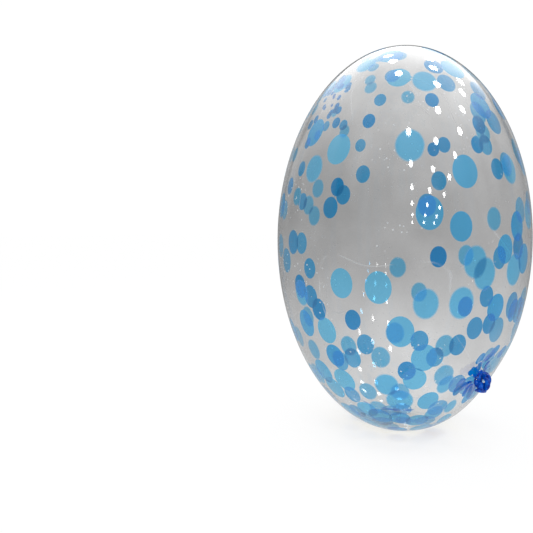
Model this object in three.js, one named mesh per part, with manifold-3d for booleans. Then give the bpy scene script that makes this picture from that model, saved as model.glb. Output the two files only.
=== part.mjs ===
// A clear bubble balloon: one blown-up film envelope, tall like an egg, standing on the small flat
// patch that its weight presses into it, with its neck tied in an overhand knot low on one side.
//
// Units are millimetres and +Z is up. The origin is the centre of the foot patch, on the floor.

import * as THREE from 'three';
import { mergeVertices } from 'three/addons/utils/BufferGeometryUtils.js';
import Module from 'manifold-3d';

const wasm = await Module();
wasm.setup();

// Driving dimensions
const WIDTH = 450;                // across the widest part of the envelope
const FULL_HEIGHT = 704;          // of the egg, before its foot is pressed flat
const FOOT_RADIUS = 52;           // of the flat patch that it stands on
const DIMPLE_DEPTH = 13;          // how far the knot pulls the skin in around itself
const DIMPLE_REACH = 112;         // from the knot to where the skin is round again
const KNOT_SEAT = 3;              // the knot's middle, out from where the skin would be without the dimple
const PLEAT_COUNT = 12;           // gathers in the skin, running out from the knot
const PLEAT_DEPTH = 1.6;          // of a gather next to the knot
const PLEAT_REACH = 62;           // from the knot to where the gathers fade out
const KNOT_STRAND = 4.3;          // radius of the rolled neck that the knot is tied in
const KNOT_WIDTH = 27;            // over the finished knot, the short way
const KNOT_LENGTH = 35;           // over the finished knot, the long way
const MOUTH_RADIUS = 8.5;         // of the rolled lip at the neck's open end
const MOUTH_LENGTH = 15;          // of the loose end that sticks out of the knot
const LIP_BEAD = 1.9;             // radius of the rolled lip itself

const HALF_WIDTH = WIDTH / 2;
const HALF_HEIGHT = FULL_HEIGHT / 2;
// The height of the egg's centre, once the foot patch has cut its lowest part off
const CENTRE_Z = HALF_HEIGHT * Math.sqrt(1 - (FOOT_RADIUS / HALF_WIDTH) ** 2);
const CENTRE = new THREE.Vector3(0, 0, CENTRE_Z);

// Where the neck leaves the egg, as a direction in the round balloon that the egg is stretched from:
// low down, halfway round from the side to the front
const NECK_BEARING = THREE.MathUtils.degToRad(-41);
const NECK_DIP = THREE.MathUtils.degToRad(-39);
const neckDirection = new THREE.Vector3(
  Math.cos(NECK_DIP) * Math.cos(NECK_BEARING),
  Math.cos(NECK_DIP) * Math.sin(NECK_BEARING),
  Math.sin(NECK_DIP),
);
const semiAxes = new THREE.Vector3(HALF_WIDTH, HALF_WIDTH, HALF_HEIGHT);
const neckRoot = neckDirection.clone().multiply(semiAxes);
const neckOut = neckDirection.clone().divide(semiAxes).normalize();

// The knot's own frame: down along the egg's skin, outwards from the egg, and out of the face that
// the loop of the knot shows
const knotFace = new THREE.Vector3(-0.15, -0.95, 0.28);
knotFace.addScaledVector(neckOut, -knotFace.dot(neckOut)).normalize();
const knotSide = new THREE.Vector3().crossVectors(neckOut, knotFace);
const knotFrame = new THREE.Matrix4().makeBasis(knotSide, neckOut, knotFace);

// ---- helpers ------------------------------------------------------------------------------------

function smoothStep(from, to, value) {
  const t = THREE.MathUtils.clamp((value - from) / (to - from), 0, 1);
  return t * t * (3 - 2 * t);
}

// A closed three.js geometry as a manifold solid
function toSolid(geometry) {
  const bare = geometry.clone();
  bare.deleteAttribute('normal');
  bare.deleteAttribute('uv');
  const merged = mergeVertices(bare, 1e-4);
  const corners = merged.index.array;
  const triVerts = [];
  for (let i = 0; i < corners.length; i += 3) {
    const [a, b, c] = [corners[i], corners[i + 1], corners[i + 2]];
    // The triangles that close up at a pole have no area
    if (a !== b && b !== c && c !== a) triVerts.push(a, b, c);
  }
  return new wasm.Manifold(new wasm.Mesh({
    numProp: 3,
    vertProperties: Float32Array.from(merged.attributes.position.array),
    triVerts: Uint32Array.from(triVerts),
  }));
}

function toGeometry(solid) {
  const mesh = solid.getMesh();
  const geometry = new THREE.BufferGeometry();
  geometry.setAttribute('position', new THREE.BufferAttribute(mesh.vertProperties, 3));
  geometry.setIndex(Array.from(mesh.triVerts));
  geometry.computeVertexNormals();
  return geometry;
}

// Moves every point of a geometry by a function of its place
function reshape(geometry, move) {
  const places = geometry.attributes.position;
  const point = new THREE.Vector3();
  for (let i = 0; i < places.count; i++) {
    point.fromBufferAttribute(places, i);
    move(point);
    places.setXYZ(i, point.x, point.y, point.z);
  }
  return geometry;
}

// ---- the envelope -------------------------------------------------------------------------------

// The egg, turned about its upright axis, from the middle of the foot to the top
function eggGeometry() {
  const ROWS = 36;
  const SEGMENTS = 60;
  const footAngle = Math.asin(FOOT_RADIUS / HALF_WIDTH);
  const profile = [new THREE.Vector2(0, 0)];
  for (let row = 0; row <= ROWS; row++) {
    const angle = THREE.MathUtils.lerp(footAngle, Math.PI, row / ROWS);
    const radius = row === ROWS ? 0 : HALF_WIDTH * Math.sin(angle);
    profile.push(new THREE.Vector2(radius, CENTRE_Z - HALF_HEIGHT * Math.cos(angle)));
  }
  return new THREE.LatheGeometry(profile, SEGMENTS).rotateX(Math.PI / 2);
}

// The knot draws the skin in and gathers it into pleats
function drawIn(point) {
  const fromNeck = point.clone().sub(CENTRE).sub(neckRoot);
  const away = fromNeck.clone().addScaledVector(neckOut, -fromNeck.dot(neckOut));
  const distance = fromNeck.length();
  const pull = DIMPLE_DEPTH * (1 - smoothStep(0, DIMPLE_REACH, distance));
  const bearing = Math.atan2(away.dot(knotFace), away.dot(knotSide));
  const pleat = PLEAT_DEPTH * Math.cos(PLEAT_COUNT * bearing)
    * (1 - smoothStep(0.3 * PLEAT_REACH, PLEAT_REACH, distance));
  const height = point.z;
  point.addScaledVector(neckOut, pleat - pull);
  // The foot stays flat on the floor
  point.z = height < 1e-6 ? height : Math.max(point.z, 0.05);
}

// ---- the neck, its knot and its mouth -----------------------------------------------------------

// The gathered skin that narrows from the egg into the knot: a trumpet, fluted by the pleats
function neckGeometry() {
  const ROOT_RADIUS = 27;
  const TOP_RADIUS = 5;
  const ROOT_DEPTH = -DIMPLE_DEPTH - 9;
  const SKIN_HEIGHT = -DIMPLE_DEPTH + 1;
  const TOP_HEIGHT = 2;
  const ROWS = 7;
  const profile = [new THREE.Vector2(0, ROOT_DEPTH), new THREE.Vector2(ROOT_RADIUS, ROOT_DEPTH)];
  for (let row = 0; row <= ROWS; row++) {
    const t = row / ROWS;
    const radius = TOP_RADIUS + (ROOT_RADIUS - TOP_RADIUS) * (1 - t) ** 2.4;
    profile.push(new THREE.Vector2(radius, THREE.MathUtils.lerp(SKIN_HEIGHT, TOP_HEIGHT, t)));
  }
  profile.push(new THREE.Vector2(0, TOP_HEIGHT));
  const trumpet = new THREE.LatheGeometry(profile, 3 * PLEAT_COUNT);
  return reshape(trumpet, (point) => {
    const bearing = Math.atan2(point.x, point.z);
    const swell = 1 + 0.13 * Math.cos(PLEAT_COUNT * bearing);
    point.x *= swell;
    point.z *= swell;
  });
}

// The overhand knot, drawn tight: a trefoil of the rolled neck
function knotGeometry() {
  const FULL_TURN_RADIUS = 8.4;
  const outside = 1.5 * FULL_TURN_RADIUS + KNOT_STRAND;
  const knot = new THREE.TorusKnotGeometry(FULL_TURN_RADIUS, KNOT_STRAND, 84, 9, 2, 3);
  return knot.scale(KNOT_WIDTH / 2 / outside, KNOT_LENGTH / 2 / outside, 0.8);
}

// The loose end of the neck, flared towards its mouth, with the lip rolled outwards
function mouthGeometry() {
  const THROAT_RADIUS = 5;
  const CUP_DEPTH = 6;
  const rim = MOUTH_LENGTH - LIP_BEAD;
  const profile = [
    new THREE.Vector2(0, 0),
    new THREE.Vector2(THROAT_RADIUS, 0),
    new THREE.Vector2(THROAT_RADIUS + 0.6, 0.4 * MOUTH_LENGTH),
    new THREE.Vector2(MOUTH_RADIUS - 1.5 * LIP_BEAD, rim - 1.5),
  ];
  for (let step = 0; step <= 6; step++) {
    const turn = THREE.MathUtils.lerp(-0.75 * Math.PI, 0.8 * Math.PI, step / 6);
    const radius = MOUTH_RADIUS - LIP_BEAD + LIP_BEAD * Math.cos(turn);
    profile.push(new THREE.Vector2(radius, rim + LIP_BEAD * Math.sin(turn)));
  }
  profile.push(new THREE.Vector2(0, MOUTH_LENGTH - CUP_DEPTH));
  return new THREE.LatheGeometry(profile, 20);
}

// ---- the balloon --------------------------------------------------------------------------------

function balloonGeometry() {
  const KNOT_TILT = THREE.MathUtils.degToRad(-52);
  const MOUTH_TURN = THREE.MathUtils.degToRad(-52);
  const MOUTH_OFFSET = new THREE.Vector3(3.6, 0.3, 3);
  const place = new THREE.Matrix4().makeTranslation(CENTRE.clone().add(neckRoot)).multiply(knotFrame);
  const seat = place.clone().multiply(new THREE.Matrix4().makeTranslation(0, KNOT_SEAT, 0));

  const egg = toSolid(reshape(eggGeometry(), drawIn));
  const neck = toSolid(neckGeometry().applyMatrix4(place));
  const knot = toSolid(knotGeometry().rotateZ(KNOT_TILT).applyMatrix4(seat));
  const mouth = mouthGeometry().rotateZ(MOUTH_TURN).translate(...MOUTH_OFFSET.toArray());
  return toGeometry(egg.add(neck).add(knot).add(toSolid(mouth.applyMatrix4(seat))));
}

const film = new THREE.MeshStandardMaterial({
  color: 0xcdd6dc,
  roughness: 0.08,
  metalness: 0,
  transparent: true,
  opacity: 0.35,
});

const balloon = new THREE.Mesh(balloonGeometry(), film);
balloon.name = 'balloon';

const group = new THREE.Group();
group.add(balloon);

export default group;
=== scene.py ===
"""A clear bubble balloon: a film envelope with printed blue dots, tied in a knot low on one side."""

import math

import bpy
import numpy as np
from mathutils import Matrix, Vector


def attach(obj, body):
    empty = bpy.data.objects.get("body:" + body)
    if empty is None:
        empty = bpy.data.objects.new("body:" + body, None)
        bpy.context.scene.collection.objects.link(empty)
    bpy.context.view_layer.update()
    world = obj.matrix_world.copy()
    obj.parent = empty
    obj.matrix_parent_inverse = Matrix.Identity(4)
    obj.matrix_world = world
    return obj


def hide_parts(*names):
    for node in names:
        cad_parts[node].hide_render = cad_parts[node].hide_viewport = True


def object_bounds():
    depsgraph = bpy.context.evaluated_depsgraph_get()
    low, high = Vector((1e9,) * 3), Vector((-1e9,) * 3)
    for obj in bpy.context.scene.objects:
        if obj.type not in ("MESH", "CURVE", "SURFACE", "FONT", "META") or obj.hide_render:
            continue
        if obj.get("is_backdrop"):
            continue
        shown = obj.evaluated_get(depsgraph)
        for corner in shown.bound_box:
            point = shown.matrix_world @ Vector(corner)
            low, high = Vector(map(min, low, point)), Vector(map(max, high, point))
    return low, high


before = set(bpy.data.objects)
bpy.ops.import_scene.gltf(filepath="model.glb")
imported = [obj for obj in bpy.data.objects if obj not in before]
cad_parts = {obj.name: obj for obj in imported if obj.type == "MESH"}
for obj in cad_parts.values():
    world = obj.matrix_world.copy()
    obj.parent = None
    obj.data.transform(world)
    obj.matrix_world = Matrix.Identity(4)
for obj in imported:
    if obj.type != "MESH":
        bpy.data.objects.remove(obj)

lowest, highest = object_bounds()
MM = 0.001

# ---- the egg, from the frame -----------------------------------------------------------------------

WIDTH = highest.x - lowest.x
FOOT_RADIUS = 52 * MM
HALF_WIDTH = WIDTH / 2
# The foot cuts the egg's lowest part off, so its full height is a little more than the frame's
CUT = math.sqrt(1 - (FOOT_RADIUS / HALF_WIDTH) ** 2)
HALF_HEIGHT = (highest.z - lowest.z) / (1 + CUT)
CENTRE = np.array([0, 0, HALF_HEIGHT * CUT])
SEMI_AXES = np.array([HALF_WIDTH, HALF_WIDTH, HALF_HEIGHT])

DIMPLE_DEPTH, DIMPLE_REACH = 13 * MM, 112 * MM
KNOT_SEAT = 3 * MM
NECK_BEARING, NECK_DIP = math.radians(-41), math.radians(-39)


def unit(vector):
    vector = np.asarray(vector, float)
    return vector / np.linalg.norm(vector, axis=-1, keepdims=True)


def smooth_step(start, end, value):
    t = np.clip((value - start) / (end - start), 0, 1)
    return t * t * (3 - 2 * t)


NECK = np.array([
    math.cos(NECK_DIP) * math.cos(NECK_BEARING),
    math.cos(NECK_DIP) * math.sin(NECK_BEARING),
    math.sin(NECK_DIP),
])
NECK_ROOT = CENTRE + NECK * SEMI_AXES
NECK_OUT = unit(NECK / SEMI_AXES)
KNOT_FACE = np.array([-0.15, -0.95, 0.28])
KNOT_FACE = unit(KNOT_FACE - NECK_OUT * KNOT_FACE.dot(NECK_OUT))
KNOT_SIDE = np.cross(NECK_OUT, KNOT_FACE)
KNOT_FRAME = np.array([KNOT_SIDE, NECK_OUT, KNOT_FACE])


def from_knot(points):
    """Places in the knot's own frame, as places in the scene."""
    return NECK_ROOT + NECK_OUT * KNOT_SEAT + np.asarray(points) @ KNOT_FRAME


# ---- the skin -----------------------------------------------------------------------------------

MERIDIANS, NECK_ROWS, BODY_ROWS = 400, 40, 200
NECK_TUBE = 5 * MM
TRUMPET_REACH, TRUMPET_HEIGHT = 27 * MM, 12 * MM
PLEATS, PLEAT_HEIGHT, PLEAT_SEED = 15, 1.7 * MM, 4
FOOT_RIM = 2.5 * MM


def skin_directions():
    """Unit directions in rows round the neck, from the neck to the point opposite it."""
    across = unit(np.cross(NECK, [0, 0, 1]))
    other = np.cross(NECK, across)
    nearest, join = NECK_TUBE / HALF_HEIGHT * 1.05, 0.22
    near = np.geomspace(nearest, join, NECK_ROWS, endpoint=False)
    polar = np.concatenate([near, np.linspace(join, math.pi, BODY_ROWS)])[:-1]
    round_it = np.arange(MERIDIANS) * 2 * math.pi / MERIDIANS
    ring = np.cos(round_it)[:, None] * across + np.sin(round_it)[:, None] * other
    rows = np.cos(polar)[:, None, None] * NECK + np.sin(polar)[:, None, None] * ring
    return np.concatenate([[NECK], rows.reshape(-1, 3), [-NECK]]), len(polar)


def pleats(bearing, distance):
    """How far the gathers round the neck stand out, in heights of a pleat."""
    rng = np.random.default_rng(PLEAT_SEED)
    total = np.zeros_like(distance)
    for i in range(PLEATS):
        middle = (i + rng.uniform(-0.3, 0.3)) * 2 * math.pi / PLEATS
        reach = rng.uniform(40, 85) * MM
        width = rng.uniform(0.09, 0.16)
        off = np.angle(np.exp(1j * (bearing - middle)))
        total += np.exp(-(off / width) ** 2) * (1 - smooth_step(0.2 * reach, reach, distance))
    return total - 0.4 * (1 - smooth_step(10 * MM, 60 * MM, distance))


def skin_places(directions):
    places = CENTRE + directions * SEMI_AXES
    away = places - NECK_ROOT
    distance = np.linalg.norm(away, axis=1)
    side, face = away @ KNOT_SIDE, away @ KNOT_FACE
    off_axis = np.hypot(side, face)
    pull = DIMPLE_DEPTH * (1 - smooth_step(0, DIMPLE_REACH, distance))
    share = np.clip((off_axis - NECK_TUBE) / (TRUMPET_REACH - NECK_TUBE), 0, 1)
    trumpet = np.where(distance < 2 * TRUMPET_REACH, TRUMPET_HEIGHT * (1 - share ** 0.42), 0)
    gather = PLEAT_HEIGHT * pleats(np.arctan2(face, side), distance)
    places = places + NECK_OUT * (trumpet - pull + gather)[:, None]
    # The foot is pressed flat on the floor, and turns up round its rim
    places[:, 2] = FOOT_RIM * np.logaddexp(0, places[:, 2] / FOOT_RIM)
    places[:, 2] -= places[:, 2].min()
    return places


def sphere_faces(rows):
    last = 1 + rows * MERIDIANS
    faces = []
    for i in range(MERIDIANS):
        j = (i + 1) % MERIDIANS
        faces.append((0, 1 + i, 1 + j))
        base = 1 + (rows - 1) * MERIDIANS
        faces.append((last, base + j, base + i))
        for row in range(rows - 1):
            a, b = 1 + row * MERIDIANS, 1 + (row + 1) * MERIDIANS
            faces.append((a + i, b + i, b + j, a + j))
    return faces


# ---- the print ----------------------------------------------------------------------------------

PRINT_HEIGHT = 0.79 * HALF_HEIGHT
DOT_RADIUS = 19.5 * MM
LARGE_DOTS, SEED = 200, 157
CROWN = unit([-0.56, 0.2, 0.8])
# How likely a dot is wherever it falls, and how much more or less likely in some places
ANYWHERE, AT_SIDES, LOW_IN_FRONT, BELOW_CROWN, ON_TOP = 0.22, 0.6, 0.75, 0.6, -0.18
# Millimetres that a dot keeps from the dots before it, drawn at random: some dots overlap
GAPS = [3, 3, -10, -20]
# Depth of ink: at the sides, how much deeper at the back, how much it varies, and where it has run
INK_DEPTH, DEEPER_BACK, INK_SPREAD, RUN_INK = 0.56, 0.34, 0.35, 0.15
# Edges, of which one in four has run and is five times as soft
SOFTNESS = [1, 1, 1, 5]
# Clusters of small dots: their middle, number, spread, size in millimetres and deepest ink
CLUSTERS = ((CROWN, 24, 0.15, 5, 1.6), (NECK, 46, 0.13, 6, 2))
CLUSTER_EDGE_INK = 0.9


def print_place(direction):
    """Where a direction falls on the print, before the egg is stretched to its full height."""
    return np.asarray(direction) * [HALF_WIDTH, HALF_WIDTH, PRINT_HEIGHT]


def crowding(direction):
    """How likely a dot is somewhere: likeliest at the sides, low in front and below the crown."""
    aside, front, height = direction[0], -direction[1], direction[2]
    sides = (1 - smooth_step(0.5, 0.8, abs(front))) * (0.75 + 0.35 * aside)
    low_front = smooth_step(0.0, 0.5, front) * smooth_step(0.1, -0.25, height) * (0.8 + 0.6 * aside)
    below_crown = 1 - smooth_step(0.3, 0.75, np.linalg.norm(direction - CROWN + [0, 0, 0.4]))
    top = smooth_step(0.75, 0.95, height)
    off_neck = smooth_step(0.12, 0.4, np.linalg.norm(direction - NECK))
    likely = ANYWHERE + AT_SIDES * sides + LOW_IN_FRONT * low_front
    return off_neck * min(1, likely + BELOW_CROWN * below_crown + ON_TOP * top)


def dots():
    """Each dot: its place on the print, its radius, its depth of ink and how soft its edge is."""
    rng = np.random.default_rng(SEED)
    found = []
    while len(found) < LARGE_DOTS:
        direction = unit(rng.normal(size=3))
        if rng.uniform() > crowding(direction):
            continue
        crown = np.linalg.norm(direction - CROWN)
        neck = np.linalg.norm(direction - NECK)
        # A dot is smaller near the crown and the neck, and on the high back
        high_back = smooth_step(0.2, 0.7, direction[1]) * smooth_step(0.2, 0.7, direction[2])
        stretch = min(1, 0.3 + 0.8 * crown, 0.45 + neck, 1 - 0.35 * high_back)
        radius = DOT_RADIUS * stretch * rng.uniform(0.88, 1.07)
        place = print_place(direction)
        gap = min([np.linalg.norm(place - p) - radius - r for p, r, _, _ in found], default=1)
        if gap < rng.choice(GAPS) * MM:
            continue
        # The ink is thinner on the front than on the back, and thinnest where its edge has run
        soft = rng.choice(SOFTNESS)
        depth = INK_DEPTH + DEEPER_BACK * direction[1] + rng.uniform(-INK_SPREAD, INK_SPREAD)
        found.append((place, radius, depth if soft == 1 else RUN_INK, soft))
    # Round the crown and the neck the film is hardly stretched, so the print stays small and deep
    for middle, count, spread, size, deepest in CLUSTERS:
        for _ in range(count):
            direction = unit(middle + rng.normal(size=3) * spread * 0.6)
            away = min(np.linalg.norm(direction - middle) / spread, 1.5)
            radius = size * MM * (0.5 + 0.9 * away) * rng.uniform(0.8, 1.15)
            depth = deepest + (CLUSTER_EDGE_INK - deepest) * away / 1.5
            found.append((print_place(direction), radius, depth, 1))
    return found


def print_values(directions):
    """For two passes of ink: how far each point is outside the nearest dot, and that dot's ink."""
    places = print_place(directions)
    gap = np.full((2, len(places)), 100.0)
    ink = np.zeros((2, len(places)))
    laid = [[], []]
    for place, radius, depth, soft in dots():
        room = [
            min([np.linalg.norm(place - p) - radius - r for p, r in layer], default=1) for layer in laid
        ]
        # A dot is in the first pass where it has room there, or no less room than in the second
        layer = 0 if room[0] > 3 * MM or room[0] >= room[1] else 1
        laid[layer].append((place, radius))
        outside = (np.linalg.norm(places - place, axis=1) - radius) / MM / soft
        closer = outside < gap[layer]
        gap[layer][closer] = outside[closer]
        ink[layer][closer] = depth
    return gap, ink


# ---- meshes -------------------------------------------------------------------------------------

def add_piece(name, points, faces, material):
    mesh = bpy.data.meshes.new(name)
    mesh.from_pydata(np.asarray(points).tolist(), [], faces)
    mesh.materials.append(material)
    mesh.shade_smooth()
    piece = bpy.data.objects.new(name, mesh)
    bpy.context.collection.objects.link(piece)
    return piece


def set_values(mesh, name, values):
    mesh.attributes.new(name, "FLOAT", "POINT").data.foreach_set("value", np.asarray(values, np.float32))


def tube(path, radii, sides, flutes, flute_depth):
    """A fluted tube along a path, closed flat at both ends."""
    path = np.asarray(path, float)
    along = unit(np.gradient(path, axis=0))
    normal = unit(np.cross(along[0], [0.3, 0.2, 0.9]))
    points, count = [], len(path)
    for i in range(count):
        normal = unit(normal - along[i] * normal.dot(along[i]))
        binormal = np.cross(along[i], normal)
        for s in range(sides):
            turn = 2 * math.pi * s / sides
            radius = radii[i] * (1 + flute_depth * math.cos(flutes * turn + 0.08 * i))
            points.append(path[i] + radius * (math.cos(turn) * normal + math.sin(turn) * binormal))
    faces = []
    for i in range(count - 1):
        for s in range(sides):
            t = (s + 1) % sides
            faces.append((i * sides + s, i * sides + t, (i + 1) * sides + t, (i + 1) * sides + s))
    points += [path[0], path[-1]]
    first, last = count * sides, count * sides + 1
    for s in range(sides):
        t = (s + 1) % sides
        faces.append((first, t, s))
        faces.append((last, (count - 1) * sides + s, (count - 1) * sides + t))
    return points, faces


# ---- the knot -----------------------------------------------------------------------------------

KNOT_STRAND = 3.8 * MM
TREFOIL, TREFOIL_SWING = 8.4 * MM, 0.65
KNOT_WIDTH, KNOT_LENGTH = 27 * MM, 35 * MM
KNOT_TILT = math.radians(-52)
MOUTH_RADIUS, MOUTH_LENGTH, LIP_BEAD = 8.5 * MM, 15 * MM, 1.9 * MM
MOUTH_TURN = math.radians(-52)
MOUTH_OFFSET = np.array([3.6, 0.3, 3]) * MM


def turned(points, angle):
    """Places turned in the knot's own face."""
    c, s = math.cos(angle), math.sin(angle)
    return np.asarray(points) @ np.array([[c, s, 0], [-s, c, 0], [0, 0, 1]])


def knot_path(steps=150):
    """A trefoil path, fitted to the width and length of the finished knot."""
    outside = (2 + TREFOIL_SWING) / 2 * TREFOIL + KNOT_STRAND
    t = np.linspace(0, 4 * math.pi, steps)
    swing = TREFOIL_SWING * np.cos(1.5 * t)
    return np.stack([
        TREFOIL * (2 + swing) * 0.5 * np.cos(t) * KNOT_WIDTH / 2 / outside,
        TREFOIL * (2 + swing) * 0.5 * np.sin(t) * KNOT_LENGTH / 2 / outside,
        TREFOIL * np.sin(1.5 * t) * 0.4,
    ], axis=1)


def knot_mesh():
    path = knot_path()
    t = np.linspace(0, 1, len(path))
    radii = KNOT_STRAND * (0.95 + 0.1 * np.sin(9 * math.pi * t))
    points, faces = tube(path, radii, 24, 7, 0.05)
    return from_knot(turned(points, KNOT_TILT)), faces


def mouth_mesh():
    """The loose end: a flared tube with its lip rolled outwards, open at the mouth."""
    sides, rows = 48, []
    rim = MOUTH_LENGTH - LIP_BEAD
    throat = 4.6 * MM
    for t in np.linspace(0, 1, 10):
        rows.append((throat + (MOUTH_RADIUS - 2 * LIP_BEAD - throat + 1 * MM) * t ** 2, rim * t))
    for turn in np.linspace(-0.7 * math.pi, 0.9 * math.pi, 12):
        rows.append((MOUTH_RADIUS - LIP_BEAD + LIP_BEAD * math.cos(turn), rim + LIP_BEAD * math.sin(turn)))
    for t in np.linspace(0, 1, 6):
        rows.append(((MOUTH_RADIUS - 2.4 * LIP_BEAD) * (1 - 0.55 * t), rim - 7 * MM * t))
    points = []
    for radius, height in rows:
        for s in range(sides):
            turn = 2 * math.pi * s / sides
            crimp = 1 + 0.05 * math.cos(5 * turn + 0.7) + 0.04 * math.cos(3 * turn)
            points.append((radius * crimp * math.cos(turn), height, radius * crimp * math.sin(turn)))
    points += [(0, 0, 0), (0, rows[-1][1], 0)]
    faces = []
    for r in range(len(rows) - 1):
        for s in range(sides):
            t = (s + 1) % sides
            faces.append((r * sides + s, (r + 1) * sides + s, (r + 1) * sides + t, r * sides + t))
    first, last = len(rows) * sides, len(rows) * sides + 1
    for s in range(sides):
        t = (s + 1) % sides
        faces.append((first, s, t))
        faces.append((last, (len(rows) - 1) * sides + t, (len(rows) - 1) * sides + s))
    points = turned(points, MOUTH_TURN) + MOUTH_OFFSET
    return from_knot(points), faces


# ---- materials ----------------------------------------------------------------------------------

class Tree:
    """Short ways to add shader nodes to a new material."""

    def __init__(self, name):
        self.material = bpy.data.materials.new(name)
        self.material.use_nodes = True
        self.tree = self.material.node_tree
        self.tree.nodes.clear()

    def add(self, kind, inputs=None, **settings):
        node = self.tree.nodes.new("ShaderNode" + kind)
        for key, value in settings.items():
            setattr(node, key, value)
        for key, value in (inputs or {}).items():
            if isinstance(value, bpy.types.NodeSocket):
                self.tree.links.new(value, node.inputs[key])
            else:
                node.inputs[key].default_value = value
        return node

    def value(self, name):
        return self.add("Attribute", attribute_name=name).outputs["Fac"]

    def maths(self, operation, *values):
        return self.add("Math", dict(enumerate(values)), operation=operation).outputs[0]

    def ramp(self, value, start, end, low=0.0, high=1.0):
        return self.add("MapRange", {
            "Value": value, "From Min": start, "From Max": end, "To Min": low, "To Max": high,
        }, interpolation_type="SMOOTHSTEP").outputs["Result"]

    def noise(self, scale, detail=2.0):
        place = self.add("TexCoord").outputs["Object"]
        inputs = {"Vector": place, "Scale": scale, "Detail": detail}
        return self.add("TexNoise", inputs).outputs["Fac"]

    def cells(self, scale):
        place = self.add("TexCoord").outputs["Object"]
        return self.add("TexVoronoi", {"Vector": place, "Scale": scale}).outputs["Distance"]

    def blend(self, share, first, second):
        node = self.add("Mix", data_type="RGBA")
        for socket, value in ((node.inputs[0], share), (node.inputs[6], first), (node.inputs[7], second)):
            if isinstance(value, bpy.types.NodeSocket):
                self.tree.links.new(value, socket)
            else:
                socket.default_value = value
        return node.outputs[2]

    def mix(self, share, first, second):
        return self.add("MixShader", {0: share, 1: first.outputs[0], 2: second.outputs[0]})

    def finish(self, shader):
        self.add("OutputMaterial", {"Surface": shader.outputs[0]})
        return self.material


# Shares of light that the clear film lets through, at its greyest height and far from it. The grey is the
# film's own, but its clearing away from that height and towards +X is painted light: it stands in for the
# brighter light falling on the top, the bottom and the +X side
GREYEST_HEIGHT, PAINTED_LIGHT_REACH = 410 * MM, 320 * MM
GREYEST, CLEAREST = 0.61, 0.77
PAINTED_LIGHT_ASIDE = 0.22                    # more of it for each metre towards +X
# The crease: its lowest height, how it curves up, and how far aside it fades out
CREASE_HEIGHT, CREASE_CURVE = 72 * MM, 3.4
CREASE_HALF_LENGTH, CREASE_END = 45 * MM, 62 * MM
# Ink at depths 0, 1 and 2, where two dots overlap and in the crease, as light shines through it
THIN_INK, FULL_INK, DEEPEST_INK = (0.16, 0.55, 0.82, 1), (0.0, 0.3, 0.7, 1), (0.0, 0.08, 0.6, 1)
DOUBLE_INK, CREASED_INK = (0.0, 0.2, 0.52, 1), (0.0, 0.24, 0.66, 1)
# The same ink as it is lit itself, and the haze, dust and scratches on the clear film
THIN_BODY, FULL_BODY, DEEPEST_BODY = (0.17, 0.52, 0.7, 1), (0.01, 0.34, 0.66, 1), (0.0, 0.07, 0.55, 1)
CLEAR_BODY = (0.8, 0.8, 0.8, 1)
CLEAR_HAZE, INKED_HAZE = 0.015, 0.3
DUST, SCRATCHES = 0.8, 0.3
# How much the film mirrors where it faces the viewer, and how much more where it is seen edge on
MIRROR_FACING, MIRROR_EDGE = 0.045, 0.75


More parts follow.
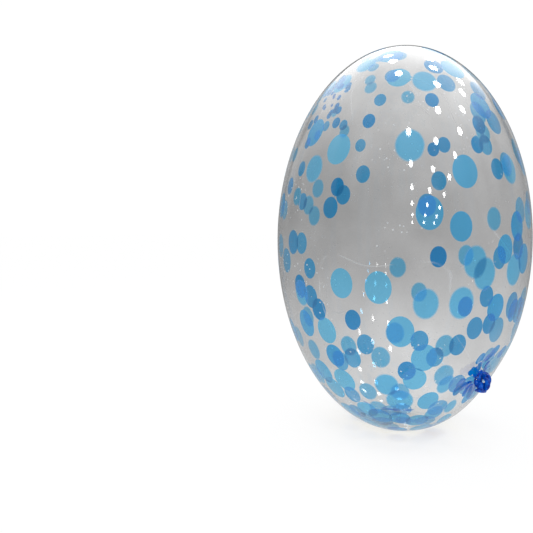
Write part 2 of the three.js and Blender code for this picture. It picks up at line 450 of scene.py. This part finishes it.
def film_material():
    m = Tree("clear_film_with_blue_dots")
    # A crisp edge is under a millimetre wide, and every edge wobbles a little
    wobble = m.maths("MULTIPLY", m.maths("SUBTRACT", m.noise(60.0), 0.5), 0.3)
    masks = [m.ramp(m.maths("ADD", m.value("gap_" + layer), wobble), -0.4, 0.4, 1, 0) for layer in "12"]
    inked = [m.maths("MULTIPLY", mask, m.value("ink_" + layer)) for mask, layer in zip(masks, "12")]
    tone = m.maths("MAXIMUM", *inked)
    either = m.maths("MAXIMUM", *masks)
    both = m.maths("MINIMUM", *masks)

    # The film is greyest round its middle, and clearer towards both ends and towards +X. This clearing is
    # painted light, brighter where more light falls; the grey itself and its random clouds are the film's
    # own
    split = m.add("SeparateXYZ", {"Vector": m.add("TexCoord").outputs["Object"]})
    x, y, z = (split.outputs[i] for i in range(3))
    from_middle = m.maths("ABSOLUTE", m.maths("SUBTRACT", z, GREYEST_HEIGHT))
    cloud = m.maths("MULTIPLY", m.maths("SUBTRACT", m.noise(8.0, 6.0), 0.5), 0.3)
    clear = m.maths("ADD", m.ramp(from_middle, 0.0, PAINTED_LIGHT_REACH, GREYEST, CLEAREST), cloud)
    clear = m.maths("ADD", clear, m.maths("MULTIPLY", x, PAINTED_LIGHT_ASIDE))
    deepest = m.ramp(tone, 1, 2)
    ink = m.blend(deepest, m.blend(tone, THIN_INK, FULL_INK), DEEPEST_INK)
    seen = m.blend(both, m.blend(either, clear, ink), DOUBLE_INK)

    # A short crease runs across the low front, curving up at both its ends
    rise = m.maths("ADD", CREASE_HEIGHT, m.maths("MULTIPLY", m.maths("MULTIPLY", x, x), CREASE_CURVE))
    off = m.maths("ABSOLUTE", m.maths("SUBTRACT", z, rise))
    length = m.ramp(m.maths("ABSOLUTE", x), CREASE_HALF_LENGTH, CREASE_END, 1, 0)
    crease = m.maths("MULTIPLY", m.ramp(off, 0.6 * MM, 2.2 * MM, 1, 0), length)
    on_front = m.ramp(y, -120 * MM, -100 * MM, 1, 0)
    crease = m.maths("MULTIPLY", crease, on_front)
    crease = m.maths("MULTIPLY", crease, m.ramp(m.noise(26.0, 1.0), 0.4, 0.5))
    seen = m.blend(crease, seen, CREASED_INK)
    see = m.add("BsdfTransparent", {"Color": seen})

    # Ink, haze, dust and scratches are lit as well, from both sides of the film
    body = m.blend(deepest, m.blend(tone, THIN_BODY, FULL_BODY), DEEPEST_BODY)
    body = m.blend(either, CLEAR_BODY, body)
    veil = m.mix(0.5, m.add("BsdfDiffuse", {"Color": body}), m.add("BsdfTranslucent", {"Color": body}))
    grains = m.ramp(m.cells(110.0), 0.12, 0.18, 1, 0)
    dusty = m.ramp(m.noise(9.0, 3.0), 0.48, 0.6)
    dust = m.maths("MULTIPLY", m.maths("MULTIPLY", grains, dusty), DUST)
    contour = m.maths("ABSOLUTE", m.maths("SUBTRACT", m.noise(7.0, 0.0), 0.5))
    lines = m.ramp(contour, 0.0, 0.007, 1, 0)
    worn = m.ramp(m.noise(13.0, 2.0), 0.5, 0.6)
    scratches = m.maths("MULTIPLY", m.maths("MULTIPLY", lines, worn), SCRATCHES)
    marks = m.maths("MAXIMUM", dust, scratches)
    haze = m.maths("ADD", m.ramp(either, 0, 1, CLEAR_HAZE, INKED_HAZE), marks)
    inner = m.mix(haze, see, veil)

    gloss = m.add("BsdfGlossy", {"Color": (1, 1, 1, 1), "Roughness": 0.04})
    facing = m.add("LayerWeight", {"Blend": 0.5}).outputs["Facing"]
    edge = m.maths("MULTIPLY", MIRROR_EDGE, m.maths("POWER", facing, 4.0))
    mirror = m.maths("ADD", MIRROR_FACING, edge)
    return m.finish(m.mix(mirror, inner, gloss))


KNOT_DARK, KNOT_LIGHT = (0.0, 0.02, 0.25, 1), (0.0, 0.13, 0.66, 1)


def knot_material():
    m = Tree("blue_gathered_film")
    shade = m.ramp(m.noise(180.0, 3.0), 0.35, 0.7)
    colour = m.blend(shade, KNOT_DARK, KNOT_LIGHT)
    rough = m.ramp(m.noise(300.0), 0.3, 0.7, 0.12, 0.3)
    bump = m.add("Bump", {"Height": m.noise(420.0, 4.0), "Strength": 0.25, "Distance": 0.001})
    return m.finish(m.add("BsdfPrincipled", {
        "Base Color": colour, "Roughness": rough, "Normal": bump.outputs[0],
        "Specular IOR Level": 0.22,
    }))


# ---- the balloon --------------------------------------------------------------------------------

def build_balloon():
    directions, rows = skin_directions()
    skin = add_piece("skin", skin_places(directions), sphere_faces(rows), film_material())
    gaps, inks = print_values(directions)
    for i in range(2):
        set_values(skin.data, f"gap_{i + 1}", gaps[i])
        set_values(skin.data, f"ink_{i + 1}", inks[i])
    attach(skin, "root")

    blue = knot_material()
    knot = add_piece("knot", *knot_mesh(), blue)
    mouth = add_piece("mouth", *mouth_mesh(), blue)
    for piece in (knot, mouth):
        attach(piece, "root")
    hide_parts("balloon")


# ---- floor, world, lamps and camera -------------------------------------------------------------

# What the floor takes of its colour from the light on it, near the balloon and far away. The rest
# glows, so that the bare floor is white and the blue dots still cast a grey shadow.
LIT_NEAR, LIT_FAR = (0.42, 0.54, 0.82), (0.05, 0.065, 0.09)
# How bright the floor looks when the film mirrors it, near the balloon and out to the horizon
FOOT_GLOW, HORIZON = 0.7, 0.32
FLOOR_REACH = 400.0
FLOOR_DROP = 0.5 * MM


def build_floor():
    mesh = bpy.data.meshes.new("floor")
    a, b = -FLOOR_REACH, FLOOR_REACH
    corners = [(a, a, 0), (b, a, 0), (b, b, 0), (a, b, 0)]
    mesh.from_pydata(corners, [], [(0, 1, 2, 3)])
    floor = bpy.data.objects.new("floor", mesh)
    bpy.context.collection.objects.link(floor)
    floor.location.z = -FLOOR_DROP
    m = Tree("floor")
    place = m.add("TexCoord").outputs["Object"]
    distance = m.add("VectorMath", {0: place}, operation="LENGTH").outputs["Value"]
    far = m.ramp(distance, 0.02, 0.22)
    lit = m.add("BsdfDiffuse", {"Color": m.blend(far, (*LIT_NEAR, 1), (*LIT_FAR, 1))})
    rest = [(*(1 - share for share in shares), 1) for shares in (LIT_NEAR, LIT_FAR)]
    glow = m.add("Emission", {"Color": m.blend(far, *rest)})
    plain = m.add("AddShader", {0: lit.outputs[0], 1: glow.outputs[0]})
    brightness = m.ramp(distance, 0.1, 2, FOOT_GLOW, HORIZON)
    mirrored = m.add("Emission", {"Color": (1, 1, 1, 1), "Strength": brightness})
    glossy = m.add("LightPath").outputs["Is Glossy Ray"]
    mesh.materials.append(m.finish(m.mix(glossy, plain, mirrored)))
    floor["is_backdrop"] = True


# A little over 1, so that the bare background comes out pure white
WHITE = 1.01
SKYLIGHT, CEILING_GLOW = 2.0, 0.7


def build_world():
    """White all round, but what the film mirrors is a grey room under a bright skylight."""
    m = Tree("room")
    world = bpy.data.worlds.new("studio")
    world.use_nodes = True
    bpy.context.scene.world = world
    m.tree = world.node_tree
    m.tree.nodes.clear()
    way = m.add("TexCoord").outputs["Generated"]
    split = m.add("SeparateXYZ", {"Vector": way})
    x, y, z = (split.outputs[i] for i in range(3))
    # The skylight lies overhead: how far it reaches aside and back, for each metre up to it
    over = m.maths("MAXIMUM", z, 0.02)
    aside = m.maths("DIVIDE", x, over)
    across = m.maths("MULTIPLY", m.ramp(aside, -1.6, -0.3), m.ramp(aside, 0.7, 1.5, 1, 0))
    back = m.maths("DIVIDE", y, over)
    along = m.maths("MULTIPLY", m.ramp(back, -0.7, 0.3), m.ramp(back, 1.3, 1.6, 1, 0))
    skylight = m.maths("MULTIPLY", across, along)
    # The room is patched in lighter and darker greys, and brightens towards the ceiling
    stretched = m.add("Mapping", {"Vector": way, "Scale": (1, 1, 0.3)}).outputs[0]
    walls = m.add("TexNoise", {"Vector": stretched, "Scale": 2.6, "Detail": 1.0}).outputs["Fac"]
    patches = m.ramp(walls, 0.4, 0.6, -0.3, 0.3)
    off_horizon = m.ramp(z, 0.0, 0.35)
    room = m.maths("ADD", HORIZON, m.maths("MULTIPLY", patches, off_horizon))
    room = m.maths("ADD", room, m.ramp(z, 0.3, 0.95, 0.0, CEILING_GLOW))
    room = m.maths("ADD", room, m.maths("MULTIPLY", skylight, SKYLIGHT))
    mirrored = m.add("Background", {"Color": (1, 1, 1, 1), "Strength": room})
    white = m.add("Background", {"Color": (1, 1, 1, 1), "Strength": WHITE})
    glossy = m.add("LightPath").outputs["Is Glossy Ray"]
    m.add("OutputWorld", {"Surface": m.mix(glossy, white, mirrored).outputs[0]})


LAMP_RADIANCE = 30.0
CEILING = 2.6
LAMP_ROWS, LAMPS_IN_ROW = 3, 10
MISSING_LAMP = (0, 3)
# How far a row reaches on the camera's side of the balloon: it starts beyond the balloon, hence the
# minus. Then the first gap along a row, and how the gaps grow.
ROW_START, FIRST_GAP, GAP_GROWTH = -0.9, 0.45, 4 / 3
# From row to row over the balloon, and for each metre of reach how far the rows fan out and slant
ROW_GAP, ROW_FAN, ROW_SLANT = 1.0, 0.115, 0.22
# How wide a lamp is, and how much wider for each metre away from the balloon's foot
LAMP_SIZE, LAMP_GROWTH = 0.165, 0.014
OVERHEAD_PLACE, OVERHEAD_AIM = (0.05, 0.1, 2.4), (0, 0, 0.2)
OVERHEAD_SIZE, OVERHEAD_RADIANCE = 1.2, 4.6


def add_lamp(name, place, aim, size, radiance):
    """A round lamp, as bright to look at as its radiance whatever its size."""
    data = bpy.data.lights.new(name, "AREA")
    data.shape, data.size = "DISK", size
    data.energy = radiance * math.pi * math.pi * size * size / 4
    lamp = bpy.data.objects.new(name, data)
    lamp.location = place
    lamp.rotation_euler = (Vector(aim) - Vector(place)).to_track_quat("-Z", "Y").to_euler()
    lamp.visible_camera = False
    bpy.context.collection.objects.link(lamp)
    return lamp


def build_lamps():
    """Rows of round ceiling lamps, from beyond the balloon to far behind the camera, fanning out."""
    reach, gap = ROW_START, FIRST_GAP
    for lamp_number in range(LAMPS_IN_ROW):
        for row in range(LAMP_ROWS):
            if (row, lamp_number) == MISSING_LAMP:
                continue
            aside = row * (ROW_GAP + ROW_FAN * reach) + ROW_SLANT * reach
            place = Vector((aside, -reach, CEILING))
            size = LAMP_SIZE + LAMP_GROWTH * place.length
            lamp = add_lamp(f"ceiling_{row}_{lamp_number}", place, CENTRE, size, LAMP_RADIANCE)
            lamp.visible_diffuse = False
        reach += gap
        gap *= GAP_GROWTH
    # A broad soft light over the balloon, which the film doesn't mirror
    overhead = add_lamp("overhead", OVERHEAD_PLACE, OVERHEAD_AIM, OVERHEAD_SIZE, OVERHEAD_RADIANCE)
    overhead.visible_glossy = False


def build_camera():
    """The camera looks past the balloon, so that the balloon stands right of the middle."""
    lens, sensor = 34.0, 36.0
    distance, elevation, roll = 0.9778, math.radians(1.5), math.radians(-1.04)
    across, up = 0.2462, 0.0404
    middle = Vector((0, 0, CENTRE[2]))
    # Pitch and yaw that show the balloon's middle so far across and up from the picture's middle
    p, q = across * sensor / lens, up * sensor / lens
    tilt = math.sin(elevation) * math.sqrt(1 + p * p + q * q) / math.sqrt(1 + q * q)
    pitch = math.atan(q) + math.asin(tilt)
    yaw = math.atan2(p, math.cos(pitch) + q * math.sin(pitch))
    data = bpy.data.cameras.new("camera")
    data.lens, data.sensor_width = lens, sensor
    data.clip_start, data.clip_end = 0.01, 1000
    camera = bpy.data.objects.new("camera", data)
    place = middle + distance * Vector((0, -math.cos(elevation), math.sin(elevation)))
    turn = Matrix.Rotation(yaw, 4, "Z") @ Matrix.Rotation(math.pi / 2 - pitch, 4, "X")
    camera.matrix_world = Matrix.Translation(place) @ turn @ Matrix.Rotation(roll, 4, "Z")
    bpy.context.collection.objects.link(camera)
    bpy.context.scene.camera = camera


build_balloon()
build_floor()
build_world()
build_lamps()
build_camera()
bpy.context.scene.view_settings.view_transform = "Standard"

lowest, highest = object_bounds()
